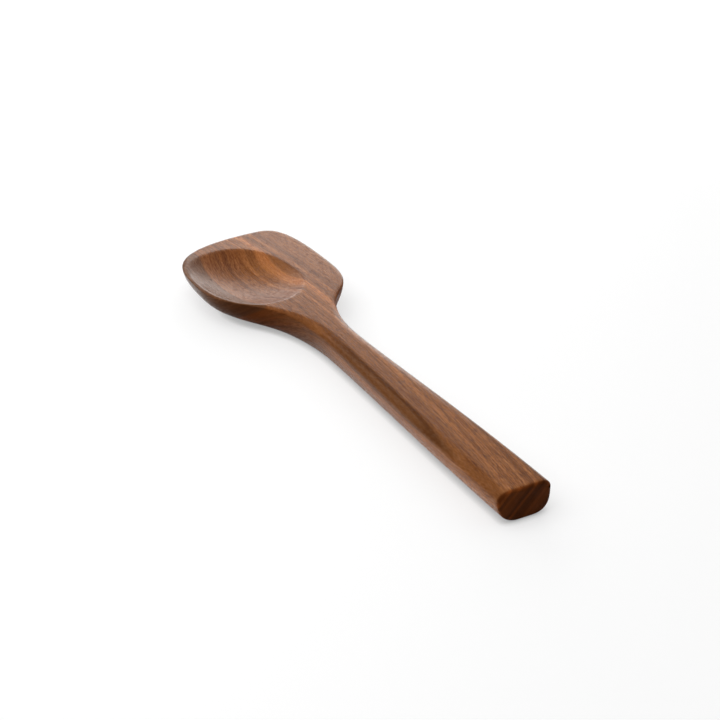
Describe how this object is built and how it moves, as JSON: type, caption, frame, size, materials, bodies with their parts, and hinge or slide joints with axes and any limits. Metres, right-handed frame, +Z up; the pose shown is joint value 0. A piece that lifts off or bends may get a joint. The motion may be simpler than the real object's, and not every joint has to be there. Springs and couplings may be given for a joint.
{
  "type": "spoon spatula",
  "caption": "Carved wooden spoon spatula: tapered D-section handle, slim neck and a broad head with a shallow off-centre bowl, a flat land beside it and a thin scraping edge.",
  "frame": {"origin": "middle of the bounding box's base, on the table that the part lies on", "axes": "+Y along the handle from the butt to the front edge, +Z up out of the bowl, +X towards the flat land beside the bowl"},
  "size_m": [0.0778, 0.305, 0.0168],
  "materials": {
    "walnut": "fine-sanded, satin oil"
  },
  "bodies": {
    "root": {"carved_body": "walnut"}
  },
  "joints": []
}
